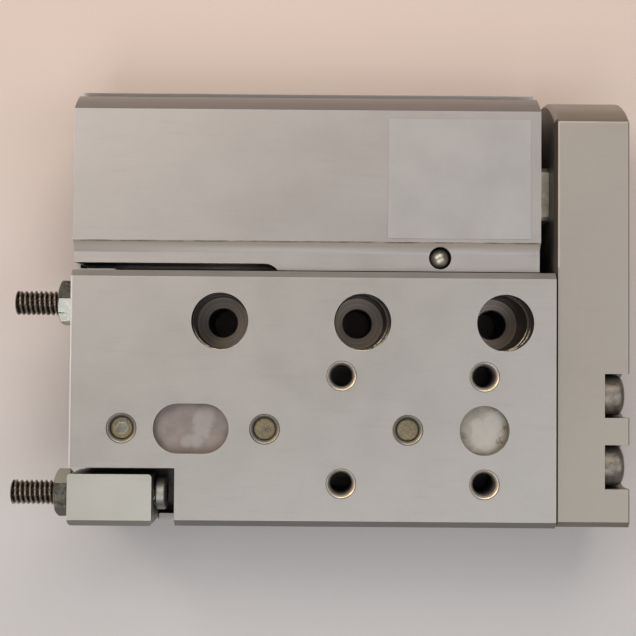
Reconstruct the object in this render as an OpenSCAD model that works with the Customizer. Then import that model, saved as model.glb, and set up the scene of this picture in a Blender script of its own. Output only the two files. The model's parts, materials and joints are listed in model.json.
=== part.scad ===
// Flat pneumatic slide table: a housing with a round cylinder side, a ball-cage guide,
// a slide plate driven by a rod through a yoke plate, and an adjustable stop for each end.
// X runs along the travel (yoke at +X), Y across (cylinder side at +Y), Z up.
// The origin is the middle of the housing's mounting face.

/* [Housing] */
// Length of the housing along the travel
housing_l = 66; // [64:1:80]
// Overall width across the mounting face and the round side
base_w = 63; // [62.8:0.2:66]
// Height of the flat top over the cylinder
main_h = 21; // [20.6:0.2:21.8]
// Radius of the round outer side about the bore's axis
hump_r = 15.3; // [15.1:0.1:15.8]
// Width of the low strip beside the slide plate
strip_w = 3.55; // [3.4:0.05:4]
// Step from the low strip up to the flat top
strip_drop = 1; // [0.6:0.1:1.4]
// Diameter of the pressed sealing ball in the strip
seal_ball_d = 3; // [2.5:0.1:3]
// Distance of the sealing ball from the housing's front end
seal_ball_back = 14.1; // [8:0.1:30]

/* [Housing mounting] */
// Diameter of the three mounting holes
mount_hole_d = 4.3; // [4:0.1:4.6]
// Diameter of their counterbores
mount_head_d = 8; // [7.4:0.1:8]
// Height of the counterbore seats above the mounting face
mount_seat_z = 11; // [8:0.5:11]
// Distance from one mounting hole to the next
mount_pitch = 20; // [19:0.5:20]
// Distance of the first mounting hole from the housing's front end
mount_front = 5.5; // [5.2:0.1:6]
// Distance of the mounting hole row from the housing's slide-side edge
mount_row = 28.85; // [28.7:0.05:29]
// Diameter of the centring holes in the slide and the base
centring_d = 7; // [6:0.5:7]
// Depth of the centring holes
centring_depth = 1.8; // [1.2:0.1:2.2]

/* [Slide plate] */
// Length of the slide plate
slide_l = 68; // [68:0.5:80]
// Width of the slide plate
slide_w = 35.75; // [35.7:0.05:35.9]
// Height of the slide plate's top above the mounting face
table_h = 22; // [22:0.2:23]
// Thickness of the slide plate over the guide
slide_t = 8; // [8:0.2:8.4]
// Thickness of its wing over the housing
wing_t = 2.6; // [2.4:0.1:2.8]
// Width of its thick part over the guide
slide_thick_w = 23.4; // [23.2:0.1:23.5]
// Chamfer along both long top edges
edge_chamfer = 0.9; // [0.3:0.05:1]
// Gap between the yoke plate and the housing as shown
yoke_gap = 2; // [2:0.1:2.5]
// Diameter of the access holes over the mounting screws
access_d = 8; // [7.4:0.1:8]
// Distance of the first access hole from the slide's front end
access_front = 7.1; // [6.5:0.1:8]

/* [Slide mounting] */
// Drilled diameter of the four mounting threads
slide_thread_d = 3.3; // [3:0.1:3.4]
// Spacing of the mounting threads along the travel
thread_pitch_x = 20; // [18:1:21]
// Spacing of the mounting threads across the travel
thread_pitch_y = 15; // [14:0.5:15]
// Distance of the first pair of threads from the slide's front end
thread_front = 10; // [9.5:0.5:11]
// Length of the centring slot
centring_slot_l = 10.6; // [9:0.2:12]
// Distance of the centring slot's middle from the slide's front end
centring_slot_front = 51; // [50:0.5:51.4]

/* [Guide] */
// Distance of the guide's axis from the housing's slide-side edge
guide_inset = 13.8; // [13.8:0.05:13.9]
// Width of the guide rail
rail_w = 10; // [9.6:0.2:10]
// Height of the guide rail
rail_h = 7; // [6.6:0.2:7.2]
// Clearance from the slide to the rail's ends
rail_end_back = 0.4; // [0.3:0.1:2]
// Width of each hardened raceway
raceway_w = 2.9; // [2.7:0.1:2.9]
// Height of each hardened raceway
raceway_h = 6.4; // [5.6:0.2:6.4]
// Gap between rail and raceway, where the ball cage runs
cage_gap = 0.7; // [0.7:0.05:0.8]
// Diameter of the guide balls
guide_ball_d = 2.4; // [2:0.1:2.4]
// Balls in each cage
cage_balls = 11; // [7:1:12]
// Distance from one ball to the next
cage_pitch = 3.5; // [3.2:0.1:3.6]
// Thickness of the cage strip
cage_t = 0.3; // [0.2:0.05:0.3]
// Distance of the first rail screw from the slide's front end
rail_screw_front = 20.7; // [20.4:0.1:21]
// Distance from one rail screw to the next
rail_screw_pitch = 20; // [19:0.5:20]
// Diameter of the rail screws' tips
rail_tip_d = 3; // [2.6:0.1:3]
// Depth of the rail screws' tips below the slide's top
rail_screw_sunk = 0.7; // [0.3:0.1:1.5]

/* [Stops] */
// Diameter of the stop screws
stop_d = 3.5; // [3:0.1:3.6]
// Width across the flats of the lock nuts
nut_af = 5.9; // [5.5:0.1:6]
// Thickness of the lock nuts
nut_t = 2.2; // [1.8:0.1:3.2]
// Length of thread behind each lock nut
stop_tail = 6.3; // [3:0.1:8]
// Turn of the extend lock nut from flat side up
extend_nut_turn = 21; // [0:1:60]
// Length of the notch in the slide's rear corner
notch_l = 14.8; // [14.6:0.1:16]
// Width of the notch in the slide's rear corner
notch_w = 8.1; // [7.9:0.1:8.2]
// Length of the retract stop block
block_l = 11.8; // [10:0.1:11.8]
// Width of the retract stop block
block_w = 7.3; // [7.1:0.1:7.4]
// Height of the retract stop block's top below the slide's top
block_drop = 0.7; // [0.4:0.1:1]
// How far the block stands out behind the housing
block_out = 0.3; // [0:0.1:1]
// Distance of the retract stop's axis from the block's outer side
block_screw_in = 4.3; // [4:0.1:4.4]
// Diameter of the retract stop's cap
stop_cap_d = 4.6; // [4:0.1:4.6]
// Thickness of the retract stop's cap
stop_cap_t = 1.4; // [1:0.1:1.5]
// Way left to the slide before it meets the retract stop
retract_way = 1.6; // [1.6:0.1:2]
// Way left to the slide before the extend stop meets the pocket's end
extend_way = 18.2; // [18.2:0.1:19]
// Distance of the extend stop's axis from the slide's edge
extend_in = 4.6; // [4.5:0.05:4.8]
// Length of the lug that carries the extend stop
lug_l = 5.8; // [5:0.2:6]
// How far the extend stop's tip reaches past the lug
extend_tip_l = 5.3; // [5.3:0.1:6]
// How far the lug stands out past the slide's edge
lug_out = 0.3; // [0.1:0.05:0.5]
// Wall of the lug below the stop screw
lug_wall = 1.3; // [1:0.1:1.4]
// Radius in the corner of the housing's stop pocket
pocket_r = 2.3; // [1.5:0.1:2.5]

/* [Yoke] */
// Thickness of the yoke plate
yoke_t = 10.6; // [10:0.1:14]
// Height of the yoke plate's lower edge above the mounting face
yoke_low = 0.5; // [0.4:0.1:1]
// Distance of the yoke plate's top below the slide's top
yoke_drop = 1.3; // [1.2:0.1:1.4]
// Radius of the yoke plate's round end about the rod
yoke_r = 14.2; // [13.8:0.1:14.4]
// Width of the notches for the yoke screws
yoke_notch_w = 6.2; // [6.1:0.1:6.6]
// Depth of the notches for the yoke screws
yoke_notch_depth = 3.5; // [3:0.1:3.6]
// Distance between the two yoke screws
yoke_screw_pitch = 10; // [9.9:0.05:10.4]
// Distance of the first yoke screw from the slide's outer edge
yoke_screw_in = 8.55; // [8.2:0.05:8.8]
// Diameter of the yoke screws' shanks
yoke_screw_d = 4; // [3.5:0.1:4]
// Diameter of the yoke screws' heads
yoke_head_d = 5.8; // [5.4:0.1:5.8]
// Chamfer along the yoke plate's front edges
yoke_chamfer = 0.2; // [0.1:0.1:0.6]

/* [Cylinder] */
// Diameter of the cylinder's bore
bore_d = 16; // [15.6:0.1:16]
// Diameter of the piston rod
rod_d = 6; // [5.6:0.1:6]
// Diameter of the rod's collar
collar_d = 13.6; // [13.2:0.1:13.6]
// Height of the rod's collar over its two flat ends
collar_h = 12; // [11.6:0.1:12.2]
// Length of the rod's collar
collar_l = 2.4; // [2.2:0.1:2.6]
// Width across the collar's spanner flats
collar_af = 7.8; // [7.4:0.1:8.2]
// Length of the piston without its cushion pads
piston_l = 11; // [10:0.2:11]
// Thickness of the cushion pads
pad_t = 1.4; // [1:0.1:1.4]
// Length of the front bearing cap
front_cap_l = 21; // [19:0.5:21]
// Length of the rear end cap
rear_cap_l = 6; // [5.6:0.1:6]
// Distance of the retaining rings from the housing's ends
ring_inset = 1; // [0.8:0.1:1]
// Thickness of the retaining rings
ring_t = 1; // [0.8:0.1:1]
// Drilled diameter of the supply ports
port_d = 4.2; // [4:0.1:4.4]
// Depth of the supply ports
port_depth = 4.5; // [4:0.1:4.6]
// Width of the sensor slots' openings
slot_open = 2.9; // [2.4:0.1:3]
// Diameter of the round bottoms of the sensor slots
slot_d = 4; // [3.8:0.1:4]
// Angle of the sensor slots above and below the bore's axis
slot_angle = 22; // [21:0.5:24]

/* [Label] */
// Length of the blank label
label_l = 20.2; // [10:0.2:26]
// Width of the blank label
label_w = 17; // [10:0.2:17]
// Distance of the label from the housing's front end
label_front = 1.4; // [1:0.1:4]

/* [Hidden] */

$fn = 64;

// Clearances
gap = 0.3;          // between bodies that pass each other
fit = 0.02;         // round a fixed piece in its seat
run = 0.05;         // round a piece that turns or slides in its bore
ball_play = 0.08;   // round a guide ball in its grooves
overcut = 1;        // how far a cutting body runs past a face
seam = 0.2;         // beside the slide
hair = 0.05;        // least step that keeps two faces apart

// Ends and edges
front_x = housing_l / 2;
rear_x = -housing_l / 2;
edge_y = -base_w / 2;
slide_front_x = front_x + yoke_gap;
slide_rear_x = slide_front_x - slide_l;
slide_edge_y = edge_y + seam;
slide_far_y = slide_edge_y + slide_w;
thick_far_y = slide_edge_y + slide_thick_w;

// Heights
slide_z = table_h - slide_t;
wing_z = table_h - wing_t;
shoulder_z = slide_z - gap;
pillar_z = wing_z - gap;
strip_z = main_h - strip_drop;
strip_near_y = slide_far_y + seam;
strip_far_y = strip_near_y + strip_w;
riser_w = 0.5;
cove_w = 1.6;
cove_r = (pow(cove_w, 2) + pow(strip_drop, 2)) / (2 * strip_drop);
cove_y = strip_far_y + riser_w - cove_w;

// Cylinder
bore_y = base_w / 2 - hump_r;
bore_z = main_h / 2;
bore_r = bore_d / 2;
rod_r = rod_d / 2;
nose_in = 2;
nose_r = bore_r - nose_in;
nose_l = 2;
rear_cap_x = rear_x + ring_inset + ring_t;
rear_nose_x = rear_cap_x + rear_cap_l;
piston_end_gap = 0.5;
front_cap_x = front_x - ring_inset - ring_t;
front_nose_x = front_cap_x - front_cap_l;
piston_rear_x = rear_nose_x + retract_way + piston_end_gap + pad_t;
piston_front_x = piston_rear_x + piston_l;
collar_x = slide_front_x - collar_l;
collar_recess = front_cap_x - collar_x + retract_way + gap;
ring_groove = 0.8;
ring_inner_r = bore_r - 0.9;
ring_opening = 5;
seal_section = 1.5;
seal_groove_w = 1.7;
piston_seal_w = 1.6;
piston_groove_r = bore_r - nose_in;
magnet_w = 3.4;
magnet_depth = 2.4;
magnet_r = bore_r - magnet_depth;
pad_hole_r = 2.6;
rear_recess_r = 2.5;
spigot_r = 2;
rod_end_r = 2.5;
rod_end_l = 3;
rod_screw_d = 3;
rod_screw_head_d = 5.5;
rod_screw_head_l = 3;
rod_screw_rim = 0.4;
rod_screw_hex = 2.5;
rod_screw_sunk = 0.2;
rod_seal_l = 3.2;
rod_seal_r = rod_r + 2;
rod_seal_back = 3.2;
rod_seal_x = front_cap_x - collar_recess - rod_seal_back - rod_seal_l;
seal_land = 1;
piston_seal_xs = [piston_rear_x + seal_land, piston_front_x - seal_land - piston_seal_w - 2 * fit];
magnet_x = (piston_rear_x + piston_front_x - magnet_w) / 2;
rear_seal_x = rear_cap_x + seal_land;
front_seal_x = front_nose_x + nose_l + 2 * seal_land;

// Ports and sensor slots
port_air_d = 2;
rear_port_x = rear_nose_x - nose_l / 2;
front_port_x = front_nose_x + nose_l / 2;
slot_in = 2.5;
slot_ring_r = hump_r - slot_in;

// Guide
guide_y = edge_y + guide_inset;
rail_z = slide_z - rail_h;
ball_z = slide_z - rail_h / 2;
ball_side = rail_w / 2 + cage_gap / 2;
groove_r = guide_ball_d / 2 + ball_play;
raceway_side = rail_w / 2 + cage_gap;
channel_side = raceway_side + raceway_w + fit;
raceway_z = ball_z - raceway_h / 2;
cage_stop_t = 0.8;
cage_stop_room = 0.6;
cage_screw_d = 1.4;
cage_screw_grip = 2.5;
cage_head_d = 2.2;
cage_head_t = 0.5;
cage_screw_side = raceway_side + raceway_w / 2 + 0.2;
cage_screw_z = raceway_z + 1.5;
raceway_l = housing_l - 2 * (cage_stop_t + cage_stop_room);
cage_l = (cage_balls + 1) * cage_pitch;
travel_middle = (extend_way - retract_way) / 2;
cage_middle_x = -travel_middle / 2;
cage_h = raceway_h - 2 * gap;
ball_xs = [for (i = [0:cage_balls - 1]) cage_middle_x + (i - (cage_balls - 1) / 2) * cage_pitch];
rail_head_d = 7;
rail_head_t = 2.8;
rail_screw_d = 4;
rail_thread_d = 3.3;
rail_tip_l = 0.25;
rail_hex = 2.9;
rail_hex_depth = 1.6;
trench_z = rail_z - rail_head_t - 0.6;
trench_side = rail_w / 2 + 0.45;
rail_screw_xs = [for (i = [0:2]) slide_front_x - rail_screw_front - i * rail_screw_pitch];

// Mounting
mount_y = edge_y + mount_row;
mount_x = front_x - mount_front;
thread_mouth = 0.5;
base_centring_x = 20;
base_slot_l = 10;

// Sealing ball in the strip
seal_hole_r = seal_ball_d / 2 + 0.1;
seal_air_r = seal_ball_d / 2 - 0.3;
seal_ball_x = front_x - seal_ball_back;
seal_ball_in = 0.3;
seal_ball_y = strip_near_y + seal_ball_in + seal_hole_r;
seal_ball_sunk = 0.2;
seal_bore_wall = 0.5;
seal_bore_reach = bore_r + seal_bore_wall + seal_ball_d / 2;
seal_bore_side = min(seal_bore_reach, bore_y - seal_ball_y);
seal_ball_z = max(strip_z - seal_ball_d / 2 - seal_ball_sunk,
                  bore_z + sqrt(pow(seal_bore_reach, 2) - pow(seal_bore_side, 2)));
seal_seat_z = seal_ball_z - sqrt(pow(seal_ball_d / 2, 2) - pow(seal_air_r, 2));

// Screws under the housing
raceway_screw_d = 2;
raceway_head_d = 3.8;
raceway_head_t = 0.9;
raceway_screw_end = 12;
raceway_screw_xs = [rear_x + raceway_screw_end, front_x - raceway_screw_end];
raceway_screw_side = raceway_side + raceway_w - 1.4;
raceway_screw_grip = 2;
raceway_hex = 1.3;
raceway_hex_depth = 0.6;
preload_d = 3;
preload_xs = [-14, 6, 26];
preload_sunk = 0.4;
preload_hex = 1.5;
preload_hex_depth = 1.5;

// Stops
wing_clear = 0.25;
lug_lip_t = 0.8;
lug_lip_out = 0.85;
stop_z = wing_z - stop_d / 2 - wing_clear;
nut_r = nut_af / 2 / cos(30);
pocket_z = stop_z - nut_r - gap;
pocket_far_y = slide_far_y + lug_lip_out + gap;
extend_y = slide_far_y - extend_in;
extend_tip_x = slide_rear_x + lug_l + extend_tip_l;
pocket_end_x = extend_tip_x + extend_way;
lug_z = stop_z - stop_d / 2 - lug_wall;
notch_x = slide_rear_x + notch_l;
block_x = rear_x - block_out;
block_y = edge_y;
block_top = table_h - block_drop;
block_foot_z = 10;
block_foot_w = guide_y - channel_side - block_y - 0.15;
block_seat_play = 0.1;
seat_wall = 0.9;
seat_end_x = notch_x + 0.6;
block_over_z = shoulder_z + 0.2;
block_screw_d = 2.5;
block_screw_grip = 4.5;
block_head_d = 4.5;
block_head_t = 2.5;
block_head_sunk = 0.2;
block_hex = 2.3;
block_hex_depth = 1.6;
block_screw_side = 2.5;
block_screw_end = 3.2;
block_screw_y = block_y + block_screw_side;
block_screw_xs = [block_x + block_screw_end, block_x + block_l - block_screw_end];
retract_y = block_y + block_screw_in;
cap_x = notch_x - retract_way - stop_cap_t;
buffer_d = 2.4;
buffer_l = 2.5;
buffer_out = 0.1;

// Yoke
yoke_top = table_h - yoke_drop;
yoke_front_x = slide_front_x + yoke_t;
yoke_side_chamfer = 0.8;
yoke_rear_chamfer = 0.5;
yoke_head_sunk = 0.5;
yoke_head_l = yoke_notch_depth - yoke_head_sunk;
yoke_head_rim = 0.9;
yoke_hex = 3;
yoke_screw_z = yoke_top - yoke_head_d / 2 - 0.2;
yoke_grip = 7.4;
pin_d = 3;
pin_half_l = 4.5;
yoke_pin_in = 2.6;
yoke_pin_ys = [slide_edge_y + yoke_pin_in, slide_edge_y + yoke_screw_in + yoke_screw_pitch / 2];
yoke_screw_ys = [for (i = [0, 1]) slide_edge_y + yoke_screw_in + i * yoke_screw_pitch];
yoke_face_thread_d = 3.3;
yoke_face_thread_l = 7;
yoke_face_pitch = 20;
yoke_face_y = slide_edge_y + slide_w / 2;
yoke_face_z = 6;

// Label
label_t = 0.08;
label_in = 0.5;

// Colours
bare_alu = [0.70, 0.68, 0.65];
hard_alu = [0.66, 0.63, 0.59];
steel = [0.62, 0.61, 0.60];
dark_steel = [0.32, 0.30, 0.28];
zinc = [0.74, 0.75, 0.73];
brass_grey = [0.55, 0.53, 0.42];
seal_black = [0.08, 0.08, 0.08];
cage_brass = [0.70, 0.57, 0.30];

// A rod along X from x, with its axis through y and z
module rod_x(x, l, r, y, z) {
    translate([x, y, z]) rotate([0, 90, 0]) cylinder(h = l, r = r);
}

// A ring along X
module ring_x(x, l, outer_r, inner_r, y, z) {
    difference() {
        rod_x(x, l, outer_r, y, z);
        rod_x(x - overcut, l + 2 * overcut, inner_r, y, z);
    }
}

// A box given by its two corners
module block(low, high) {
    translate(low) cube(high - low);
}

// A hexagonal bar along X, flat side up when turn is 0
module hex_x(x, l, across, y, z, turn = 0) {
    translate([x, y, z]) rotate([turn, 0, 0]) rotate([0, 90, 0]) rotate([0, 0, 30])
        cylinder(h = l, r = across / 2 / cos(30), $fn = 6);
}

// A profile in Y and Z, extruded along X
module extrude_x(x, l) {
    translate([x, 0, 0]) rotate([90, 0, 90]) linear_extrude(l) children();
}

// A slot with round ends along X, cut down from height z
module slot_down(x, y, z, l, w, depth) {
    straight = (l - w) / 2;
    translate([x - straight, y, z - depth]) cylinder(h = depth + overcut, d = w);
    translate([x + straight, y, z - depth]) cylinder(h = depth + overcut, d = w);
    block([x - straight, y - w / 2, z - depth], [x + straight, y + w / 2, z + overcut]);
}

// A drilled and countersunk thread, down from height z
module thread_down(x, y, z, d, depth) {
    translate([x, y, z - depth]) cylinder(h = depth + overcut, d = d);
    translate([x, y, z - thread_mouth]) cylinder(h = thread_mouth, r1 = d / 2, r2 = d / 2 + thread_mouth);
}

// ---- Housing and what is fixed to it ----

module housing_outline() {
    block([rear_x, edge_y, 0], [front_x, thick_far_y + gap, shoulder_z]);
    block([rear_x, thick_far_y + gap, 0], [front_x, strip_near_y, pillar_z]);
    extrude_x(rear_x, housing_l) polygon([
        [strip_near_y, 0],
        [bore_y, 0],
        [bore_y, main_h],
        [cove_y, main_h],
        [cove_y, strip_z],
        [strip_near_y, strip_z]
    ]);
    intersection() {
        rod_x(rear_x, housing_l, hump_r, bore_y, bore_z);
        block([rear_x, bore_y, 0], [front_x, bore_y + hump_r, main_h]);
    }
}

module guide_channel() {
    block([rear_x - overcut, guide_y - channel_side, raceway_z],
          [front_x + overcut, guide_y + channel_side, table_h]);
    block([rear_x - overcut, guide_y - trench_side, trench_z],
          [front_x + overcut, guide_y + trench_side, table_h]);
}

module stop_pocket() {
    round_y = pocket_far_y - pocket_r;
    round_x = pocket_end_x - pocket_r;
    block([rear_x - overcut, thick_far_y, pocket_z], [pocket_end_x, round_y, table_h]);
    block([rear_x - overcut, thick_far_y, pocket_z], [round_x, pocket_far_y, table_h]);
    translate([round_x, round_y, pocket_z]) cylinder(h = table_h, r = pocket_r);
}

module block_seat() {
    block([rear_x - overcut, edge_y - overcut, block_foot_z],
          [block_x + block_l + block_seat_play, guide_y - raceway_side, table_h]);
    block([rear_x - overcut, edge_y + seat_wall, block_foot_z],
          [seat_end_x, guide_y - raceway_side, table_h]);
}

// The hollow corner that leads from the strip up to the flat top
module cove()
    intersection() {
        rod_x(rear_x - overcut, housing_l + 2 * overcut, cove_r, cove_y, strip_z + cove_r);
        block([rear_x - overcut, cove_y, strip_z], [front_x + overcut, cove_y + cove_w, main_h + overcut]);
    }

module mounting_holes() {
    for (i = [0:2])
        translate([mount_x - i * mount_pitch, mount_y, 0]) {
            translate([0, 0, -overcut]) cylinder(h = table_h, d = mount_hole_d);
            translate([0, 0, mount_seat_z]) cylinder(h = table_h, d = mount_head_d);
        }
}

module sensor_slot(angle) {
    translate([0, bore_y, bore_z]) rotate([angle, 0, 0]) {
        rod_x(rear_x - overcut, housing_l + 2 * overcut, slot_d / 2, slot_ring_r, 0);
        block([rear_x - overcut, slot_ring_r, -slot_open / 2],
              [front_x + overcut, hump_r + overcut, slot_open / 2]);
    }
}

module supply_port(x) {
    translate([x, bore_y, bore_z]) rotate([-90, 0, 0]) {
        cylinder(h = hump_r, d = port_air_d);
        translate([0, 0, hump_r - port_depth]) cylinder(h = port_depth + overcut, d = port_d);
    }
}

module seal_ball_hole() {
    translate([seal_ball_x, seal_ball_y, seal_seat_z]) cylinder(h = table_h, r = seal_hole_r);
    translate([seal_ball_x, seal_ball_y, bore_z]) cylinder(h = table_h, r = seal_air_r);
}

module base_centring() {
    translate([base_centring_x, guide_y, -overcut])
        cylinder(h = overcut + centring_depth, d = centring_d);
    mirror([0, 0, 1])
        slot_down(-base_centring_x, guide_y, 0, base_slot_l, centring_d, centring_depth);
}

// A countersunk screw standing on the mounting face, or with play the hole for it
module raceway_screw(play) {
    cylinder(h = raceway_z + raceway_screw_grip, d = raceway_screw_d + 2 * play);
    cylinder(h = raceway_head_t, d1 = raceway_head_d + 2 * play, d2 = raceway_screw_d + 2 * play);
}

module at_raceway_screws() {
    for (x = raceway_screw_xs, side = [-1, 1])
        translate([x, guide_y + side * raceway_screw_side, 0]) children();
}

module at_block_screws() {
    for (x = block_screw_xs)
        translate([x, block_screw_y, 0]) children();
}

module at_preload_screws() {
    for (x = preload_xs)
        translate([x, edge_y, ball_z]) rotate([-90, 0, 0]) children();
}

module housing() color(bare_alu) {
    difference() {
        housing_outline();
        guide_channel();
        stop_pocket();
        block_seat();
        cove();
        mounting_holes();
        sensor_slot(slot_angle);
        sensor_slot(-slot_angle);
        rod_x(rear_x - overcut, housing_l + 2 * overcut, bore_r, bore_y, bore_z);
        rod_x(rear_x + ring_inset, ring_t, bore_r + ring_groove, bore_y, bore_z);
        rod_x(front_cap_x, ring_t, bore_r + ring_groove, bore_y, bore_z);
        supply_port(rear_port_x);
        supply_port(front_port_x);
        seal_ball_hole();
        base_centring();
        at_raceway_screws() translate([0, 0, -0.05]) raceway_screw(0.1);
        at_preload_screws() translate([0, 0, -overcut])
            cylinder(h = guide_inset, d = preload_d + 2 * fit);
        at_block_screws() translate([0, 0, -overcut]) {
            cylinder(h = table_h, d = block_screw_d + gap);
            cylinder(h = overcut + block_head_sunk + block_head_t, d = block_head_d + gap);
        }
    }
}

module sealing_ball() color(steel)
    translate([seal_ball_x, seal_ball_y, seal_ball_z]) sphere(d = seal_ball_d);

module label() color("white")
    translate([front_x - label_front - label_l, strip_far_y + riser_w + label_in, main_h])
        cube([label_l, label_w, label_t]);

// A hardened raceway beside the rail: side is -1 or 1
module raceway(side) color(dark_steel) {
    difference() {
        translate([0, guide_y + side * (raceway_side + raceway_w / 2), raceway_z + raceway_h / 2])
            cube([raceway_l, raceway_w, raceway_h], center = true);
        rod_x(-housing_l / 2, housing_l, groove_r, guide_y + side * ball_side, ball_z);
        at_raceway_screws()
            cylinder(h = raceway_z + raceway_screw_grip + hair, d = raceway_screw_d + 2 * fit);
        for (end = [-1, 1])
            rod_x(end * raceway_l / 2 - cage_screw_grip, 2 * cage_screw_grip, cage_screw_d / 2 + fit,
                  guide_y + side * cage_screw_side, cage_screw_z);
    }
}

module outer_raceway() raceway(-1);

module inner_raceway() raceway(1);

module raceway_screws() color(dark_steel)
    at_raceway_screws() difference() {
        raceway_screw(0);
        translate([0, 0, -overcut]) cylinder(h = overcut + raceway_hex_depth, d = raceway_hex, $fn = 6);
    }

module preload_screws() color(dark_steel)
    at_preload_screws() difference() {
        translate([0, 0, preload_sunk])
            cylinder(h = guide_inset - channel_side - preload_sunk, d = preload_d);
        cylinder(h = preload_sunk + preload_hex_depth, d = preload_hex, $fn = 6);
    }

module at_raceway_ends() {
    for (end = [0, 1], side = [-1, 1])
        translate([0, guide_y, 0]) mirror([end, 0, 0]) translate([raceway_l / 2, 0, 0])
            mirror([0, (1 - side) / 2, 0]) children();
}

module cage_stops() color(steel)
    at_raceway_ends() difference() {
        block([0, rail_w / 2 + gap, raceway_z + 0.2],
              [cage_stop_t, raceway_side + raceway_w - 0.2, raceway_z + raceway_h - 0.2]);
        rod_x(-overcut, cage_stop_t + 2 * overcut, cage_screw_d / 2 + fit, cage_screw_side, cage_screw_z);
    }

module cage_stop_screws() color(dark_steel)
    at_raceway_ends() {
        rod_x(-cage_screw_grip + 0.2, cage_screw_grip + cage_stop_t, cage_screw_d / 2,
              cage_screw_side, cage_screw_z);
        rod_x(cage_stop_t, cage_head_t, cage_head_d / 2, cage_screw_side, cage_screw_z);
    }

module retract_stop_block() color(bare_alu) {
    corner = 0.5;
    far_y = block_y + block_w;
    difference() {
        intersection() {
            union() {
                translate([block_x + corner, block_y + corner, block_over_z])
                    linear_extrude(block_top - block_over_z) block_plan(block_l, block_w, corner);
                block([rear_x, block_y, block_foot_z],
                      [block_x + block_l, block_y + block_foot_w, block_over_z]);
            }
            extrude_x(block_x, block_l) polygon([
                [block_y, block_foot_z],
                [far_y, block_foot_z],
                [far_y, block_top],
                [block_y + edge_chamfer, block_top],
                [block_y, block_top - edge_chamfer]
            ]);
        }
        rod_x(block_x - overcut, block_l + 2 * overcut, stop_d / 2 + run, retract_y, stop_z);
        at_block_screws() cylinder(h = block_foot_z + block_screw_grip + gap, d = block_screw_d + 2 * fit);
    }
}

// A rectangle with round corners, whose lower left corner arc is centred on the origin
module block_plan(l, w, corner) {
    for (x = [0, l - 2 * corner], y = [0, w - 2 * corner])
        translate([x, y]) circle(r = corner);
    translate([-corner, 0]) square([l, w - 2 * corner]);
    translate([0, -corner]) square([l - 2 * corner, w]);
}

module stop_block_screws() color(dark_steel)
    at_block_screws() difference() {
        union() {
            cylinder(h = block_foot_z + block_screw_grip, d = block_screw_d);
            translate([0, 0, block_head_sunk]) cylinder(h = block_head_t, d = block_head_d);
        }
        translate([0, 0, -overcut]) cylinder(h = overcut + block_hex_depth, d = block_hex, $fn = 6);
    }

// A chamfered hexagonal nut along X, its rear face at x
module lock_nut(x, y, turn) {
    face_r = nut_af / 2 * 0.96;
    outer_r = nut_r + 0.2;
    slope = (outer_r - face_r) * tan(30);
    difference() {
        intersection() {
            hex_x(x, nut_t, nut_af, y, stop_z, turn);
            translate([x, y, stop_z]) rotate([turn + 20, 0, 0]) rotate([0, 90, 0]) rotate_extrude() polygon([
                [0, 0],
                [face_r, 0],
                [outer_r, slope],
                [outer_r, nut_t - slope],
                [face_r, nut_t],
                [0, nut_t]
            ]);
        }
        rod_x(x - overcut, nut_t + 2 * overcut, stop_d / 2 + run, y, stop_z);
    }
}

module retract_stop_nut() color(dark_steel)
    lock_nut(block_x - nut_t, retract_y, 0);

// A stop screw along X from x, with a chamfered rear end and a bore for the buffer in its tip
module stop_screw(x, l, y) {
    bevel = 0.4;
    difference() {
        translate([x, y, stop_z]) rotate([0, 90, 0]) rotate_extrude() polygon([
            [0, 0],
            [stop_d / 2 - bevel, 0],
            [stop_d / 2, bevel],
            [stop_d / 2, l],
            [0, l]
        ]);
        rod_x(x + l - buffer_l, buffer_l + overcut, buffer_d / 2 + fit, y, stop_z);
    }
}

module stop_buffer(tip_x, y) color(seal_black)
    rod_x(tip_x - buffer_l, buffer_l + buffer_out, buffer_d / 2, y, stop_z);

module retract_stop_screw() color(dark_steel) {
    x = block_x - nut_t - stop_tail;
    tip_x = cap_x + stop_cap_t;
    stop_screw(x, tip_x - x, retract_y);
    ring_x(cap_x, stop_cap_t, stop_cap_d / 2, stop_d / 2 - 0.2, retract_y, stop_z);
}

module retract_stop_buffer() stop_buffer(cap_x + stop_cap_t, retract_y);

module rear_end_cap() color(hard_alu)
    difference() {
        rod_x(rear_cap_x, rear_cap_l, bore_r - fit, bore_y, bore_z);
        ring_x(rear_nose_x - nose_l, nose_l + overcut, bore_r + overcut, nose_r, bore_y, bore_z);
        cap_seal_groove(rear_seal_x);
        rod_x(rear_cap_x - overcut, overcut + rear_recess_r, rear_recess_r, bore_y, bore_z);
    }

module cap_seal_groove(x)
    ring_x(x, seal_groove_w, bore_r + overcut, bore_r - seal_section - fit, bore_y, bore_z);

// A round seal in the groove that starts at x
module cap_seal(x) color(seal_black)
    translate([x + seal_groove_w / 2, bore_y, bore_z]) rotate([0, 90, 0]) rotate_extrude()
        translate([bore_r - seal_section / 2, 0]) circle(d = seal_section - fit);

module rear_cap_seal() cap_seal(rear_seal_x);

module front_cap_seal() cap_seal(front_seal_x);

// A snap ring, open towards +Z
module retaining_ring(x)
    difference() {
        ring_x(x + hair, ring_t - 2 * hair, bore_r + ring_groove - hair, ring_inner_r, bore_y, bore_z);
        block([x - overcut, bore_y - ring_opening / 2, bore_z],
              [x + ring_t + overcut, bore_y + ring_opening / 2, bore_z + 2 * bore_r]);
    }

module rear_retaining_ring() color(dark_steel) retaining_ring(rear_x + ring_inset);

module front_retaining_ring() color(dark_steel) retaining_ring(front_cap_x);

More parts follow.
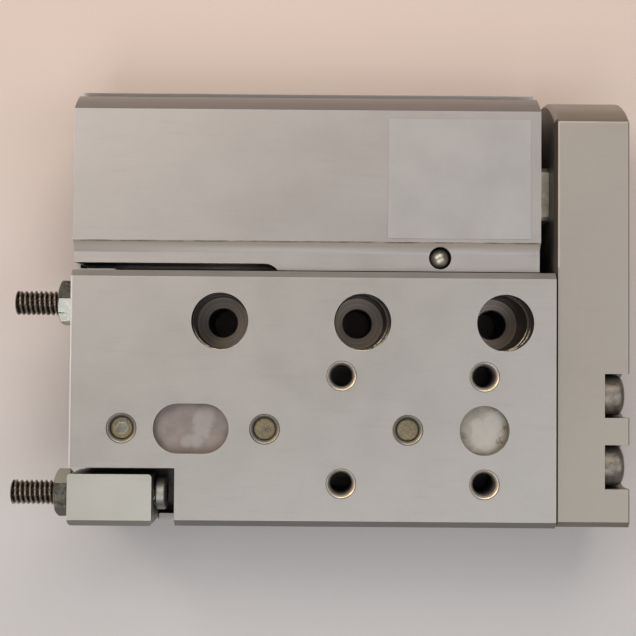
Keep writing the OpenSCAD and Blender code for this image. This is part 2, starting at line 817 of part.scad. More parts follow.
module front_bearing_cap() color(hard_alu)
    difference() {
        rod_x(front_nose_x, front_cap_l, bore_r - fit, bore_y, bore_z);
        ring_x(front_nose_x - overcut, nose_l + overcut, bore_r + overcut, nose_r, bore_y, bore_z);
        cap_seal_groove(front_seal_x);
        rod_x(front_nose_x - overcut, front_cap_l + 2 * overcut, rod_r + run, bore_y, bore_z);
        rod_x(rod_seal_x, rod_seal_l + fit, rod_seal_r, bore_y, bore_z);
        rod_x(front_cap_x - collar_recess, collar_recess + overcut, collar_d / 2 + 0.5, bore_y, bore_z);
    }

module rod_seal() color(seal_black)
    ring_x(rod_seal_x, rod_seal_l, rod_seal_r - fit, rod_r + run, bore_y, bore_z);

// ---- Slide, yoke and piston ----

module slide_outline() {
    extrude_x(slide_rear_x, slide_l) polygon([
        [slide_edge_y, slide_z],
        [thick_far_y, slide_z],
        [thick_far_y, wing_z],
        [slide_far_y, wing_z],
        [slide_far_y, table_h - edge_chamfer],
        [slide_far_y - edge_chamfer, table_h],
        [slide_edge_y + edge_chamfer, table_h],
        [slide_edge_y, table_h - edge_chamfer]
    ]);
    block([slide_rear_x, thick_far_y - overcut, lug_z],
          [slide_rear_x + lug_l, slide_far_y + lug_out, wing_z]);
    block([slide_rear_x, thick_far_y - overcut, lug_z],
          [slide_rear_x + lug_lip_t, slide_far_y + lug_lip_out, wing_z]);
    block([slide_rear_x, thick_far_y - overcut, lug_z],
          [slide_rear_x + lug_l, slide_far_y, wing_z + wing_t / 2]);
}

module slide_plate() color(bare_alu) {
    difference() {
        slide_outline();
        block([slide_rear_x - overcut, slide_edge_y - overcut, 0],
              [notch_x, slide_edge_y + notch_w, table_h + overcut]);
        for (i = [0:2])
            translate([slide_front_x - access_front - i * mount_pitch, mount_y, wing_z - overcut])
                cylinder(h = wing_t + 2 * overcut, d = access_d);
        for (i = [0, 1], side = [-0.5, 0.5])
            thread_down(slide_front_x - thread_front - i * thread_pitch_x, guide_y + side * thread_pitch_y,
                        table_h, slide_thread_d, slide_t + overcut);
        translate([slide_front_x - thread_front, guide_y, table_h - centring_depth])
            cylinder(h = centring_depth + overcut, d = centring_d);
        slot_down(slide_front_x - centring_slot_front, guide_y, table_h, centring_slot_l, centring_d,
                  centring_depth);
        for (x = rail_screw_xs)
            thread_down(x, guide_y, table_h, rail_thread_d + 2 * fit, slide_t + overcut);
        for (y = yoke_screw_ys)
            rod_x(slide_front_x - yoke_grip - gap, yoke_grip + overcut, yoke_screw_d / 2 + fit,
                  y, yoke_screw_z);
        for (y = yoke_pin_ys)
            rod_x(slide_front_x - pin_half_l - 0.2, pin_half_l + overcut, pin_d / 2 + fit, y, yoke_screw_z);
        rod_x(slide_rear_x - overcut, lug_l + 2 * overcut, stop_d / 2 + run, extend_y, stop_z);
        rod_x(slide_rear_x - overcut, lug_l + 2 * overcut, bore_r + ring_groove + gap, bore_y, bore_z);
    }
}

module guide_rail() color(dark_steel) {
    rear = slide_rear_x + rail_end_back;
    length = slide_l - 2 * rail_end_back;
    difference() {
        block([rear, guide_y - rail_w / 2, rail_z], [rear + length, guide_y + rail_w / 2, slide_z]);
        for (side = [-1, 1])
            rod_x(rear - overcut, length + 2 * overcut, groove_r, guide_y + side * ball_side, ball_z);
        for (x = rail_screw_xs)
            translate([x, guide_y, rail_z - overcut])
                cylinder(h = rail_h + 2 * overcut, d = rail_screw_d + gap);
    }
}

module rail_screws() color(brass_grey) {
    thread_l = slide_t - rail_screw_sunk;
    for (x = rail_screw_xs)
        translate([x, guide_y, rail_z - rail_head_t]) difference() {
            union() {
                cylinder(h = rail_head_t, d = rail_head_d);
                cylinder(h = rail_head_t + rail_h - hair, d = rail_screw_d);
                cylinder(h = rail_head_t + rail_h + thread_l - rail_tip_l, d = rail_thread_d);
                cylinder(h = rail_head_t + rail_h + thread_l, d = rail_tip_d);
            }
            translate([0, 0, -overcut]) cylinder(h = overcut + rail_hex_depth, d = rail_hex, $fn = 6);
        }
}

module yoke_outline() {
    extrude_x(slide_front_x, yoke_t) polygon([
        [slide_edge_y + hair, yoke_low],
        [bore_y, yoke_low],
        [bore_y, yoke_top],
        [slide_edge_y + hair + yoke_side_chamfer, yoke_top],
        [slide_edge_y + hair, yoke_top - yoke_side_chamfer]
    ]);
    intersection() {
        translate([slide_front_x, bore_y, bore_z]) rotate([0, 90, 0]) rotate_extrude($fn = 96) polygon([
            [0, 0],
            [yoke_r - yoke_rear_chamfer, 0],
            [yoke_r, yoke_rear_chamfer],
            [yoke_r, yoke_t - yoke_chamfer],
            [yoke_r - yoke_chamfer, yoke_t],
            [0, yoke_t]
        ]);
        block([slide_front_x, bore_y - overcut, yoke_low], [yoke_front_x, bore_y + yoke_r, yoke_top]);
    }
}

module yoke_edges() {
    translate([0, base_w, 0]) rotate([90, 0, 0]) linear_extrude(2 * base_w) polygon([
        [slide_front_x, yoke_low],
        [yoke_front_x, yoke_low],
        [yoke_front_x, yoke_top - yoke_chamfer],
        [yoke_front_x - yoke_chamfer, yoke_top],
        [slide_front_x + yoke_rear_chamfer, yoke_top],
        [slide_front_x, yoke_top - yoke_rear_chamfer]
    ]);
}

module yoke_plate() color(hard_alu) {
    difference() {
        intersection() {
            yoke_outline();
            yoke_edges();
        }
        for (y = yoke_screw_ys) {
            rod_x(yoke_front_x - yoke_notch_depth, yoke_notch_depth + overcut, yoke_notch_w / 2,
                  y, yoke_screw_z);
            block([yoke_front_x - yoke_notch_depth, y - yoke_notch_w / 2, yoke_screw_z],
                  [yoke_front_x + overcut, y + yoke_notch_w / 2, table_h]);
            rod_x(slide_front_x - overcut, yoke_t + overcut, yoke_screw_d / 2 + 0.15, y, yoke_screw_z);
        }
        for (y = yoke_pin_ys)
            rod_x(slide_front_x - overcut, pin_half_l + 0.2 + overcut, pin_d / 2 + fit, y, yoke_screw_z);
        rod_x(slide_front_x - overcut, rod_end_l + overcut, rod_end_r + fit, bore_y, bore_z);
        rod_x(slide_front_x, yoke_t + overcut, rod_screw_d / 2 + 0.1, bore_y, bore_z);
        rod_x(yoke_front_x - rod_screw_head_l - rod_screw_sunk, yoke_t, rod_screw_head_d / 2 + gap,
              bore_y, bore_z);
        for (i = [-0.5, 0.5])
            rod_x(yoke_front_x - yoke_face_thread_l, yoke_face_thread_l + overcut, yoke_face_thread_d / 2,
                  yoke_face_y + i * yoke_face_pitch, yoke_face_z);
    }
}

// A socket head screw along -X, its head's front face at x and with a round front rim
module socket_screw(x, head_l, head_r, rim, shank_l, shank_r, socket, y, z) {
    difference() {
        translate([x, y, z]) rotate([0, -90, 0]) rotate_extrude()
            intersection() {
                square([head_r, head_l]);
                union() {
                    translate([0, rim]) square([head_r, head_l]);
                    square([head_r - rim, head_l]);
                    translate([head_r - rim, rim]) circle(r = rim, $fn = 24);
                }
            }
        hex_x(x - head_l / 2, head_l, socket, y, z);
    }
    rod_x(x - head_l - shank_l, shank_l, shank_r, y, z);
}

module yoke_screws() color(steel)
    for (y = yoke_screw_ys)
        socket_screw(yoke_front_x - yoke_notch_depth + yoke_head_l, yoke_head_l, yoke_head_d / 2,
                     yoke_head_rim, yoke_t - yoke_notch_depth + yoke_grip, yoke_screw_d / 2, yoke_hex,
                     y, yoke_screw_z);

module yoke_pins() color(steel)
    for (y = yoke_pin_ys)
        rod_x(slide_front_x - pin_half_l, 2 * pin_half_l, pin_d / 2, y, yoke_screw_z);

module piston_rod() color(steel) {
    difference() {
        union() {
            rod_x(piston_front_x, collar_x - piston_front_x, rod_r, bore_y, bore_z);
            intersection() {
                rod_x(collar_x, collar_l, collar_d / 2, bore_y, bore_z);
                block([collar_x, bore_y - collar_af / 2, bore_z - collar_h / 2],
                      [slide_front_x, bore_y + collar_af / 2, bore_z + collar_h / 2]);
            }
            rod_x(slide_front_x, rod_end_l - 0.1, rod_end_r, bore_y, bore_z);
            rod_x(piston_rear_x, piston_l, spigot_r, bore_y, bore_z);
        }
        rod_x(collar_x - overcut, slide_front_x - collar_x + rod_end_l + 2 * overcut, rod_screw_d / 2 + fit,
              bore_y, bore_z);
    }
}

module rod_screw() color(dark_steel)
    socket_screw(yoke_front_x - rod_screw_sunk, rod_screw_head_l, rod_screw_head_d / 2, rod_screw_rim,
                 yoke_t - rod_screw_head_l - rod_screw_sunk + collar_l, rod_screw_d / 2, rod_screw_hex,
                 bore_y, bore_z);

module piston() color(hard_alu)
    difference() {
        rod_x(piston_rear_x, piston_l, bore_r - 0.08, bore_y, bore_z);
        rod_x(piston_rear_x - overcut, piston_l + 2 * overcut, spigot_r + fit, bore_y, bore_z);
        for (x = piston_seal_xs)
            ring_x(x, piston_seal_w + 2 * fit, bore_r + overcut, piston_groove_r, bore_y, bore_z);
        ring_x(magnet_x - fit, magnet_w + 2 * fit, bore_r + overcut, magnet_r, bore_y, bore_z);
    }

module piston_seals() color(seal_black)
    for (x = piston_seal_xs)
        ring_x(x + fit, piston_seal_w, bore_r - run, piston_groove_r, bore_y, bore_z);

module piston_magnet() color(dark_steel)
    ring_x(magnet_x, magnet_w, bore_r - 0.3, magnet_r, bore_y, bore_z);

module cushion_pads() color(seal_black) {
    ring_x(piston_rear_x - pad_t, pad_t, nose_r, pad_hole_r, bore_y, bore_z);
    ring_x(piston_front_x, pad_t, nose_r, rod_r + fit, bore_y, bore_z);
}

module extend_stop_screw() color(dark_steel) {
    x = slide_rear_x - nut_t - stop_tail;
    stop_screw(x, extend_tip_x - x, extend_y);
}

module extend_stop_buffer() stop_buffer(extend_tip_x, extend_y);

module extend_stop_nut() color(zinc)
    lock_nut(slide_rear_x - nut_t, extend_y, extend_nut_turn);

// ---- Ball cages ----

module ball_cage(side) color(cage_brass)
    difference() {
        translate([cage_middle_x, guide_y + side * ball_side, ball_z])
            cube([cage_l, cage_t, cage_h], center = true);
        for (x = ball_xs)
            translate([x, guide_y + side * ball_side - overcut, ball_z]) rotate([-90, 0, 0])
                cylinder(h = 2 * overcut, d = guide_ball_d + 2 * fit, $fn = 32);
    }

module outer_ball_cage() ball_cage(-1);

module inner_ball_cage() ball_cage(1);

module guide_balls() color(steel)
    for (x = ball_xs, side = [-1, 1])
        translate([x, guide_y + side * ball_side, ball_z]) sphere(d = guide_ball_d, $fn = 32);

housing();
sealing_ball();
label();
outer_raceway();
inner_raceway();
raceway_screws();
preload_screws();
cage_stops();
cage_stop_screws();
retract_stop_block();
stop_block_screws();
retract_stop_nut();
retract_stop_screw();
retract_stop_buffer();
rear_end_cap();
rear_cap_seal();
rear_retaining_ring();
front_bearing_cap();
front_cap_seal();
front_retaining_ring();
rod_seal();
slide_plate();
guide_rail();
rail_screws();
yoke_plate();
yoke_screws();
yoke_pins();
piston_rod();
rod_screw();
piston();
piston_seals();
piston_magnet();
cushion_pads();
extend_stop_screw();
extend_stop_buffer();
extend_stop_nut();
outer_ball_cage();
inner_ball_cage();
guide_balls();
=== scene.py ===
"""Looks of the pneumatic slide table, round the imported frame. Metres, X along the travel, Z up."""
import json
import math

import bpy
from mathutils import Matrix, Vector


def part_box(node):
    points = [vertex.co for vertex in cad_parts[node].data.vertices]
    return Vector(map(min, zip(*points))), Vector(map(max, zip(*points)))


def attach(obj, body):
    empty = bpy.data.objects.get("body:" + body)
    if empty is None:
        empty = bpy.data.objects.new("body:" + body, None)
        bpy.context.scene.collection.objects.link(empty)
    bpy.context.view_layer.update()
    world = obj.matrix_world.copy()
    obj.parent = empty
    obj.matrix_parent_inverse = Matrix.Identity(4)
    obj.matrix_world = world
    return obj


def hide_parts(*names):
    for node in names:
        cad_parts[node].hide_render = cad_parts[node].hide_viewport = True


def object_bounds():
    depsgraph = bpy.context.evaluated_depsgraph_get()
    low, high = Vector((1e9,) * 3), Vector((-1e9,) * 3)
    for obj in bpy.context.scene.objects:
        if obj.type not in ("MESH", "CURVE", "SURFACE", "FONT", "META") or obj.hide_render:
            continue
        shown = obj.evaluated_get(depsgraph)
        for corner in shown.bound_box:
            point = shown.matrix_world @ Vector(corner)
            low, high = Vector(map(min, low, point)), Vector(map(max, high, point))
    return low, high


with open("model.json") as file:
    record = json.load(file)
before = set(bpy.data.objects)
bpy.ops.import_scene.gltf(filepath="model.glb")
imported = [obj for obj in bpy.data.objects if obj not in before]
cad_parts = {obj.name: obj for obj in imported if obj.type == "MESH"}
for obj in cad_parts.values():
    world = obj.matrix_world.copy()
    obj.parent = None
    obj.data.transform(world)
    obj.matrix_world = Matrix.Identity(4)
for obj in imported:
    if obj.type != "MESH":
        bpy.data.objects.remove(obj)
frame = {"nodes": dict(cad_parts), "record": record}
cad_low, cad_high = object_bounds()

MM = 0.001
SPAN = 1.0

# Edges of the CAD's pieces
WELD_REACH = 0.001 * MM
EDGE_ROUNDING = 0.1 * MM
FINE_EDGES = {"label": 0.02 * MM, "extend_stop_nut": 0.04 * MM, "retract_stop_nut": 0.04 * MM}
EDGE_ANGLE = 35
NUT_EDGE_ANGLE = 12

# Threads and the stop screws. FLAT_CUT marks the parts of a screw that carry no thread.
THREAD_PITCH = 0.7 * MM
THREAD_STEPS = 10
FLAT_CUT = 2.0
STOP_R = 1.75 * MM
STOP_THREAD_DEPTH = 0.38 * MM
STOP_BEVEL = 0.12 * MM
STOP_FACE_IN = 0.45 * MM
STOP_FACE_SUNK = 0.08 * MM
STOP_CAP_L = 1.4 * MM
STOP_CAP_EDGE = 0.2 * MM
BUFFER_R = 1.22 * MM
BUFFER_BORE = 2.5 * MM
AXIS_R = 0.02 * MM

# The slide's tapped holes and the tips of the rail screws
SLIDE_THREAD_R = 1.65 * MM
TAP_DEPTH = 0.15 * MM
THREAD_MOUTH = 0.5 * MM
MOUTH_FLARE = 0.46 * MM
CUT_RIM = 0.12 * MM
RAIL_SCREWS = 3
RAIL_HEAD_R = 3.5 * MM
TIP_MARK_RINGS = ((0, 0.95 * MM, 0), (0.05 * MM, 0.75 * MM, 0), (0.02 * MM, 0.1 * MM, 0))

# Access holes in the slide, and the counterbores and seats below them in the housing. SLIDE_X_SHIFT is
# how far the slide's holes stand in front of the counterbores at rest.
BORE_R = 4 * MM
RIM_W = 0.16 * MM
ACCESS_REACH = 4.2 * MM
SLIDE_X_SHIFT = 0.4 * MM
SEAT_Z = 11.03 * MM
SEAT_INNER = 2.25 * MM
SEAT_OUTER = 3.95 * MM
SEAT_RING_STEP = 0.085 * MM
SEAT_RING_DEPTH = 0.012 * MM

# The slide's wing, notch and recesses, the cove beside the label, and the yoke's outline
WING_T = 2.6 * MM
WING_GAP = 0.3 * MM
NOTCH_L = 14.8 * MM
NOTCH_W = 8.1 * MM
RECESS_W = 7 * MM
RECESS_SLOT_L = 10.6 * MM
RECESS_FLOOR_IN = 1.785 * MM
RECESS_PLAY = 0.05 * MM
COVE_W = 1.6 * MM
COVE_DEPTH = 1.0 * MM
LABEL_IN = 0.5 * MM
YOKE_CHAMFER = 0.5 * MM
YOKE_FLAT_IN = 4.32 * MM
SKIN = 0.04 * MM

# Camera, fitted to the photo
CAMERA_PLACE = Vector((1.4386, -6.9515, 183.15)) * MM
CAMERA_TARGET = Vector((1.6348, -2.1294, 22.0)) * MM
CAMERA_ROLL = 0.00787
CAMERA_LENS = 65.27

# Each lamp is its name, place, size, power and colour.
LAMPS = (
    ("key_left", (-0.16, 0.12, 0.34), 0.20, 0.50, (1.0, 0.93, 0.86)),
    ("key_back", (0.05, 0.23, 0.31), 0.20, 0.44, (1.0, 0.90, 0.82)),
    ("fill_right", (0.18, -0.05, 0.34), 0.20, 0.31, (0.92, 0.96, 1.0)),
    ("fill_front", (-0.03, -0.19, 0.34), 0.20, 0.43, (0.96, 0.98, 1.0)),
    ("low_left", (-0.30, 0.24, 0.15), 0.10, 0.22, (1.0, 0.88, 0.72)),
)
SKY_LOW = (0.065, 0.058, 0.052, 1)
SKY_HIGH = (0.16, 0.15, 0.145, 1)
# The floor's colours in front and at the back are a painted fall of light across it.
FLOOR_FRONT = (0.59, 0.57, 0.57)
FLOOR_BACK = (0.70, 0.57, 0.50)
FLOOR_DROP = 0.1 * MM


# ---- Materials ----

# CUT names the point attribute that tells thread_steel how deep a thread is cut there.
CUT = "thread_cut"
# Near-black colour painted as shade in bores, under the slide's wing, in the notch and in the yoke's seam.
PAINTED_SHADE = (0.058, 0.043, 0.036)
BARE_STEEL = (0.30, 0.29, 0.265)
# Dark brown of real dirt, also painted as shade round the recess floors.
DIRT_AND_SHADE = (0.12, 0.085, 0.05)
# Colour of the painted shade line along the top of the cove.
SHADE_LINE = (0.06, 0.055, 0.04)


class Graph:
    """A node material, with a short call for each kind of node used here."""

    def __init__(self, name):
        self.material = bpy.data.materials.new(name)
        self.material.use_nodes = True
        self.tree = self.material.node_tree
        self.shader = self.tree.nodes["Principled BSDF"]
        self.place = self.add("ShaderNodeTexCoord").outputs["Object"]

    def add(self, kind, **settings):
        node = self.tree.nodes.new(kind)
        for key, value in settings.items():
            setattr(node, key, value)
        return node

    def put(self, socket, value):
        """Links an output, or sets a constant, on a socket."""
        if isinstance(value, bpy.types.NodeSocket):
            self.tree.links.new(value, socket)
        elif isinstance(value, tuple):
            socket.default_value = (*value, 1) if len(socket.default_value) == 4 else value
        else:
            socket.default_value = value

    def noise(self, size, detail=3, stretch=(1, 1, 1), rough=0.5):
        """Noise whose features are about size metres, longer along an axis where stretch is above 1."""
        mapping = self.add("ShaderNodeMapping")
        self.put(mapping.inputs["Vector"], self.place)
        self.put(mapping.inputs["Scale"], tuple(1 / (size * s) for s in stretch))
        noise = self.add("ShaderNodeTexNoise")
        self.put(noise.inputs["Vector"], mapping.outputs["Vector"])
        self.put(noise.inputs["Scale"], 1.0)
        self.put(noise.inputs["Detail"], float(detail))
        self.put(noise.inputs["Roughness"], rough)
        return noise.outputs["Fac"]

    def remap(self, value, low, high, to_low=0.0, to_high=1.0):
        node = self.add("ShaderNodeMapRange")
        self.put(node.inputs["Value"], value)
        for name, number in (("From Min", low), ("From Max", high), ("To Min", to_low), ("To Max", to_high)):
            self.put(node.inputs[name], number)
        return node.outputs["Result"]

    def calc(self, operation, a, b=0.0):
        node = self.add("ShaderNodeMath", operation=operation)
        self.put(node.inputs[0], a)
        self.put(node.inputs[1], b)
        return node.outputs["Value"]

    def mix(self, amount, a, b, blend="MIX"):
        node = self.add("ShaderNodeMix", data_type="RGBA", blend_type=blend)
        self.put(node.inputs["Factor"], amount)
        self.put(node.inputs[6], a)
        self.put(node.inputs[7], b)
        return node.outputs[2]

    def bump(self, height, depth, strength=1.0):
        node = self.add("ShaderNodeBump")
        self.put(node.inputs["Height"], height)
        self.put(node.inputs["Distance"], depth)
        self.put(node.inputs["Strength"], strength)
        return node.outputs["Normal"]

    def edge_mask(self, radius):
        """1 on outer and inner edges, 0 on open faces."""
        bevel = self.add("ShaderNodeBevel", samples=4)
        self.put(bevel.inputs["Radius"], radius)
        dot = self.add("ShaderNodeVectorMath", operation="DOT_PRODUCT")
        self.put(dot.inputs[0], bevel.outputs["Normal"])
        self.put(dot.inputs[1], self.add("ShaderNodeNewGeometry").outputs["Normal"])
        return self.remap(dot.outputs["Value"], 0.99, 0.88)

    def corners(self, reach, light=0.75, dark=0.2):
        """1 in narrow seams and corners, 0 on open faces."""
        node = self.add("ShaderNodeAmbientOcclusion", samples=6)
        self.put(node.inputs["Distance"], reach)
        return self.remap(node.outputs["AO"], light, dark)

    def coordinate(self, axis):
        """X, Y or Z in the object's own space, in metres."""
        split = self.add("ShaderNodeSeparateXYZ")
        self.put(split.inputs["Vector"], self.place)
        return split.outputs[axis]

    def distance(self, centre):
        """The level distance from a centre, in metres."""
        flat = self.add("ShaderNodeVectorMath", operation="MULTIPLY")
        self.put(flat.inputs[0], self.place)
        self.put(flat.inputs[1], (1.0, 1.0, 0.0))
        away = self.add("ShaderNodeVectorMath", operation="DISTANCE")
        self.put(away.inputs[0], flat.outputs["Vector"])
        self.put(away.inputs[1], (centre[0], centre[1], 0.0))
        return away.outputs["Value"]

    def inside(self, low, high):
        """1 inside a box of the object's own space, 0 outside it."""
        split = self.add("ShaderNodeSeparateXYZ")
        self.put(split.inputs["Vector"], self.place)
        mask = 1.0
        for axis in range(3):
            above = self.calc("GREATER_THAN", split.outputs[axis], low[axis])
            below = self.calc("LESS_THAN", split.outputs[axis], high[axis])
            mask = self.calc("MULTIPLY", mask, self.calc("MULTIPLY", above, below))
        return mask

    def facing(self, direction):
        """How far the surface faces a direction: 1 straight at it, -1 away from it."""
        dot = self.add("ShaderNodeVectorMath", operation="DOT_PRODUCT")
        self.put(dot.inputs[0], self.add("ShaderNodeNewGeometry").outputs["True Normal"])
        self.put(dot.inputs[1], direction)
        return dot.outputs["Value"]

    def tilted(self):
        """1 on faces that slope at about 45 degrees, 0 on level and upright ones."""
        level = self.calc("ABSOLUTE", self.facing((0.0, 0.0, 1.0)))
        return self.calc("MULTIPLY", self.remap(level, 0.9, 0.8), self.remap(level, 0.5, 0.6))

    def finish(self, colour, metallic, roughness, normal=None):
        self.put(self.shader.inputs["Base Color"], colour)
        self.put(self.shader.inputs["Metallic"], metallic)
        self.put(self.shader.inputs["Roughness"], roughness)
        if normal is not None:
            self.put(self.shader.inputs["Normal"], normal)
        return self.material


def shade(colour, factor):
    return tuple(min(1.0, c * factor) for c in colour)


def anodised(name, colour, metallic=0.66, rough=0.44, mottle=0.03, shaded_boxes=(), cove=None, chamfer=(1.0, 1.0),
             far=None, highlight_boxes=(), smeared=0.25):
    """Blasted and anodised aluminium: fine grain, faint lines along X, soft cloudy spots, edges partly worn
    and partly painted lighter as a highlight, and painted shade in seams, corners and deep bores.

    The faces inside the boxes given for shade are painted near black as shade. cove is a box whose faces
    are painted paler as light, with a painted shade line along its top. far is the colour towards the
    cylinder's side, where it differs. chamfer gives the painted shade and light of the chamfers that face
    the guide's and the cylinder's side, and the boxes given for highlights are painted lighter along edges.
    mottle is the contrast of the cloudy spots, and smeared the strength of the darker smears.
    """
    g = Graph(name)
    clouds = g.noise(6 * MM, 3, rough=0.5)
    speckle = g.noise(0.16 * MM, 3, rough=0.7)
    drawn = g.noise(0.12 * MM, 2, stretch=(60, 1, 1))
    base = g.mix(g.remap(clouds, 0.35, 0.65), shade(colour, 1 - mottle), shade(colour, 1 + mottle))
    if far:
        base = g.mix(g.remap(g.coordinate("Y"), -0.01, 0.02), base, far)
    base = g.mix(g.remap(speckle, 0.35, 0.65, 0.0, 0.1), base, shade(colour, 1.5))
    base = g.mix(g.remap(drawn, 0.45, 0.7, 0.0, 0.05), base, shade(colour, 0.7))
    # Painted shade and light: chamfers that face the guide's and the cylinder's side get their own tones.
    chamfer_shade = g.mix(g.remap(g.facing((0.0, 1.0, 0.0)), -0.3, 0.3), shade(colour, chamfer[0]),
                   shade(colour, chamfer[1]))
    base = g.mix(g.tilted(), base, chamfer_shade)
    smears = g.noise(1.1 * MM, 4, stretch=(7, 1, 1), rough=0.55)
    base = g.mix(g.remap(smears, 0.56, 0.74, 0.0, smeared), base, shade(colour, 0.8))
    # Edges painted lighter, partly as wear and partly as a painted highlight.
    base = g.mix(g.calc("MULTIPLY", g.edge_mask(0.12 * MM), 0.7), base, shade(colour, 1.75))
    # Painted shade: seams and corners darker, deep bores near black.
    base = g.mix(g.calc("MULTIPLY", g.corners(0.7 * MM), 0.6), base, shade(colour, 0.25))
    base = g.mix(g.calc("MULTIPLY", g.corners(5 * MM, 0.45, 0.12), 0.95), base, shade(colour, 0.04))
    # Painted shade: faces inside these boxes are painted near black.
    for box in shaded_boxes:
        base = g.mix(g.calc("MULTIPLY", g.inside(*box), 0.85), base, PAINTED_SHADE)
    # Painted highlight: faces inside these boxes are painted lighter.
    for box in highlight_boxes:
        base = g.mix(g.inside(*box), base, shade(colour, 1.6))
    if cove:
        base, metallic = paler_cove(g, base, colour, metallic, cove)
    roughness = g.remap(clouds, 0.3, 0.7, rough - 0.03, rough + 0.03)
    height = g.calc("ADD", speckle, g.calc("MULTIPLY", drawn, 0.6))
    return g.finish(base, metallic, roughness, g.bump(height, 0.02 * MM, 0.5))


def paler_cove(g, base, colour, metallic, cove):
    """The hollow corner along the strip: duller, and painted paler as light, most of all on its wall that
    faces the guide, with a painted shade line, broken up by noise, along its top.
    """
    low, high = cove
    # Painted shade line along the top of the cove, broken up by noise.
    line = g.remap(g.coordinate("Z"), high[2] - 0.35 * MM, high[2] - 0.1 * MM)
    line_breakup = g.remap(g.noise(0.8 * MM, 4, stretch=(4, 1, 1), rough=0.7), 0.4, 0.62, 0.0, 0.8)
    inside = g.inside(low, high)
    lit_wall = g.calc("MULTIPLY", inside, g.remap(g.facing((0.0, -1.0, 0.0)), 0.2, 0.8))
    # Painted light: the cove a little paler, its wall that faces the guide paler still.
    base = g.mix(inside, base, shade(colour, 1.05))
    base = g.mix(lit_wall, base, (colour[0] * 1.6, colour[1] * 1.5, colour[2] * 1.35))
    base = g.mix(g.calc("MULTIPLY", inside, g.calc("MULTIPLY", line, line_breakup)), base, SHADE_LINE)
    return base, g.remap(inside, 0, 1, metallic, 0.2)


def turned_face(name, colour, centre):
    """A seat cut by a counterbore: fine rings round its middle, with lighter and darker bands."""
    g = Graph(name)
    ring = g.add("ShaderNodeCombineXYZ")
    g.put(ring.inputs["X"], g.calc("DIVIDE", g.distance(centre), 0.16 * MM))
    rings = g.add("ShaderNodeTexNoise")
    g.put(rings.inputs["Vector"], ring.outputs["Vector"])
    g.put(rings.inputs["Scale"], 1.0)
    bands = rings.outputs["Fac"]
    oil = g.noise(2.5 * MM, 3)
    base = g.mix(g.remap(bands, 0.35, 0.65), shade(colour, 0.6), shade(colour, 1.35))
    base = g.mix(g.remap(oil, 0.45, 0.65, 0.0, 0.5), base, (colour[0], colour[1] * 0.95, colour[2] * 0.7))
    return g.finish(base, 0.7, g.remap(bands, 0.3, 0.7, 0.3, 0.45), g.bump(bands, 0.02 * MM, 0.4))


def bore_edge(name, bright, dull, middle_y):
    """The edge of a bore: a painted highlight on its near side, painted shade round the rest."""
    g = Graph(name)
    patchy_noise = g.noise(0.6 * MM, 3, rough=0.7)
    # Painted highlight on the near side of the bore; the rest of the rim is painted dark as shade.
    lit_side = g.remap(g.coordinate("Y"), middle_y - 0.5 * MM, middle_y - 2.5 * MM)
    base = g.mix(g.calc("MULTIPLY", lit_side, g.remap(patchy_noise, 0.35, 0.55)), dull, bright)
    return g.finish(base, 0.8, g.remap(patchy_noise, 0.3, 0.7, 0.28, 0.4))


def turned_aluminium(name, colour):
    g = Graph(name)
    rings = g.noise(0.1 * MM, 2, stretch=(1, 12, 12))
    base = g.mix(g.remap(rings, 0.3, 0.7), shade(colour, 0.85), shade(colour, 1.1))
    return g.finish(base, 0.9, g.remap(rings, 0.3, 0.7, 0.25, 0.4), g.bump(rings, 0.02 * MM, 0.4))


def worn_steel(name, colour, rough, spots=0.3, metallic=0.9, edges=2.6, facet_shades=None):
    """Screws and nuts: uneven colour, fine scratches, edges brighter partly as wear and partly as a painted
    highlight, and painted shade in corners.

    The optional pair of facet colours is the painted shade and light of the facets that face the guide's
    and the cylinder's side, where they differ.
    """
    g = Graph(name)
    clouds = g.noise(0.9 * MM, 4, rough=0.65)
    scratches = g.noise(0.05 * MM, 2, stretch=(1, 14, 3))
    base = g.mix(g.remap(clouds, 0.35, 0.65), shade(colour, 1 - spots), shade(colour, 1 + spots))
    # Painted shade and light on the facets that face the guide's and the cylinder's side.
    if facet_shades:
        across = g.facing((0.0, 1.0, 0.0))
        base = g.mix(g.remap(across, -0.3, -0.6), base, facet_shades[0])
        base = g.mix(g.remap(across, 0.3, 0.6), base, facet_shades[1])
    # Edges brighter, partly as wear and partly as a painted highlight; corners darker as painted shade.
    base = g.mix(g.calc("MULTIPLY", g.edge_mask(0.15 * MM), 0.7), base, shade(colour, edges))
    base = g.mix(g.calc("MULTIPLY", g.corners(0.5 * MM), 0.6), base, shade(colour, 0.2))
    roughness = g.remap(clouds, 0.35, 0.65, rough - 0.05, rough + 0.05)
    return g.finish(base, metallic, roughness, g.bump(scratches, 0.01 * MM, 0.4))


def thread_steel(name, root, crest):
    """Blackened thread, with a painted highlight on its crests, painted shade in its roots, and brown
    and greenish traces of oil.
    """
    g = Graph(name)
    tint = g.noise(0.5 * MM, 3)
    patchy_noise = g.noise(0.25 * MM, 3, rough=0.7)
    cut = g.add("ShaderNodeAttribute", attribute_name=CUT).outputs["Fac"]
    film = g.mix(g.remap(tint, 0.4, 0.6), (root[0] * 0.9, root[1], root[2] * 0.9),
                 (root[0] * 1.4, root[1] * 0.9, root[2] * 0.75))
    crest_tone = g.mix(g.remap(patchy_noise, 0.35, 0.65), shade(crest, 0.6), shade(crest, 1.25))
    # Painted shade in the roots and a painted highlight on the crests, by the depth of the cut.
    base = g.mix(g.remap(cut, 0.6, 0.15), film, crest_tone)
    flat = g.remap(cut, 1.2, 1.8)
    bare = g.mix(g.remap(patchy_noise, 0.35, 0.65), shade(BARE_STEEL, 0.8), shade(BARE_STEEL, 1.15))
    base = g.mix(flat, base, bare)
    roughness = g.calc("ADD", g.remap(patchy_noise, 0.3, 0.7, 0.22, 0.36), g.calc("MULTIPLY", flat, 0.18))
    return g.finish(base, 0.85, roughness)


